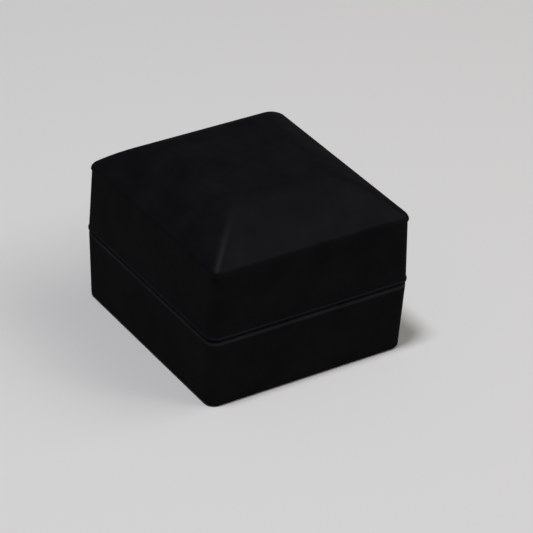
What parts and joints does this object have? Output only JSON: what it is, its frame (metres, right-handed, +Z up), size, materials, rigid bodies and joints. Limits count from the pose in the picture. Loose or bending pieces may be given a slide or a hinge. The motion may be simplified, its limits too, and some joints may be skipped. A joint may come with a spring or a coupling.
{
  "type": "ring box",
  "caption": "Small hinged ring box with a bevelled lid, a lined interior, padded rolls with a ring slot and a sprung hinge at the back.",
  "frame": {"origin": "middle of the underside, on the surface the box stands on", "axes": "+X to the box's right, -Y to its front, +Y to the hinge side, +Z up"},
  "size_m": [0.0614, 0.0652, 0.05],
  "materials": {
    "lacquered_shell": "soft-touch matt black lacquer on moulded plastic",
    "flocked_lining": "fine black flock",
    "card": "uncoated greyboard",
    "foam": "open-cell foam",
    "velvet": "short-pile black velvet",
    "satin": "ivory satin",
    "hinge_steel": "nickel-plated stamped steel",
    "spring_steel": "blued spring steel"
  },
  "bodies": {
    "base": {"base_shell": "lacquered_shell", "base_liner": "flocked_lining", "cushion_board": "card", "front_roll_foam": "foam", "front_roll_velvet": "velvet", "rear_roll_foam": "foam", "rear_roll_velvet": "velvet", "hinge_base_leaf": "hinge_steel", "hinge_pin": "hinge_steel", "hinge_spring": "spring_steel", "base_leaf_screws": "hinge_steel"},
    "lid": {"lid_shell": "lacquered_shell", "lid_liner": "flocked_lining", "lid_pad_board": "card", "lid_pad_foam": "foam", "lid_pad_satin": "satin", "hinge_lid_leaf": "hinge_steel", "lid_leaf_screws": "hinge_steel"}
  },
  "joints": [
    {"name": "lid_hinge", "type": "hinge", "parent": "base", "child": "lid", "pos_m": [0, 0.0309, 0.0206], "axis": [-1, 0, 0], "range_deg": [0, 100], "deforming": ["hinge_spring"]}
  ]
}
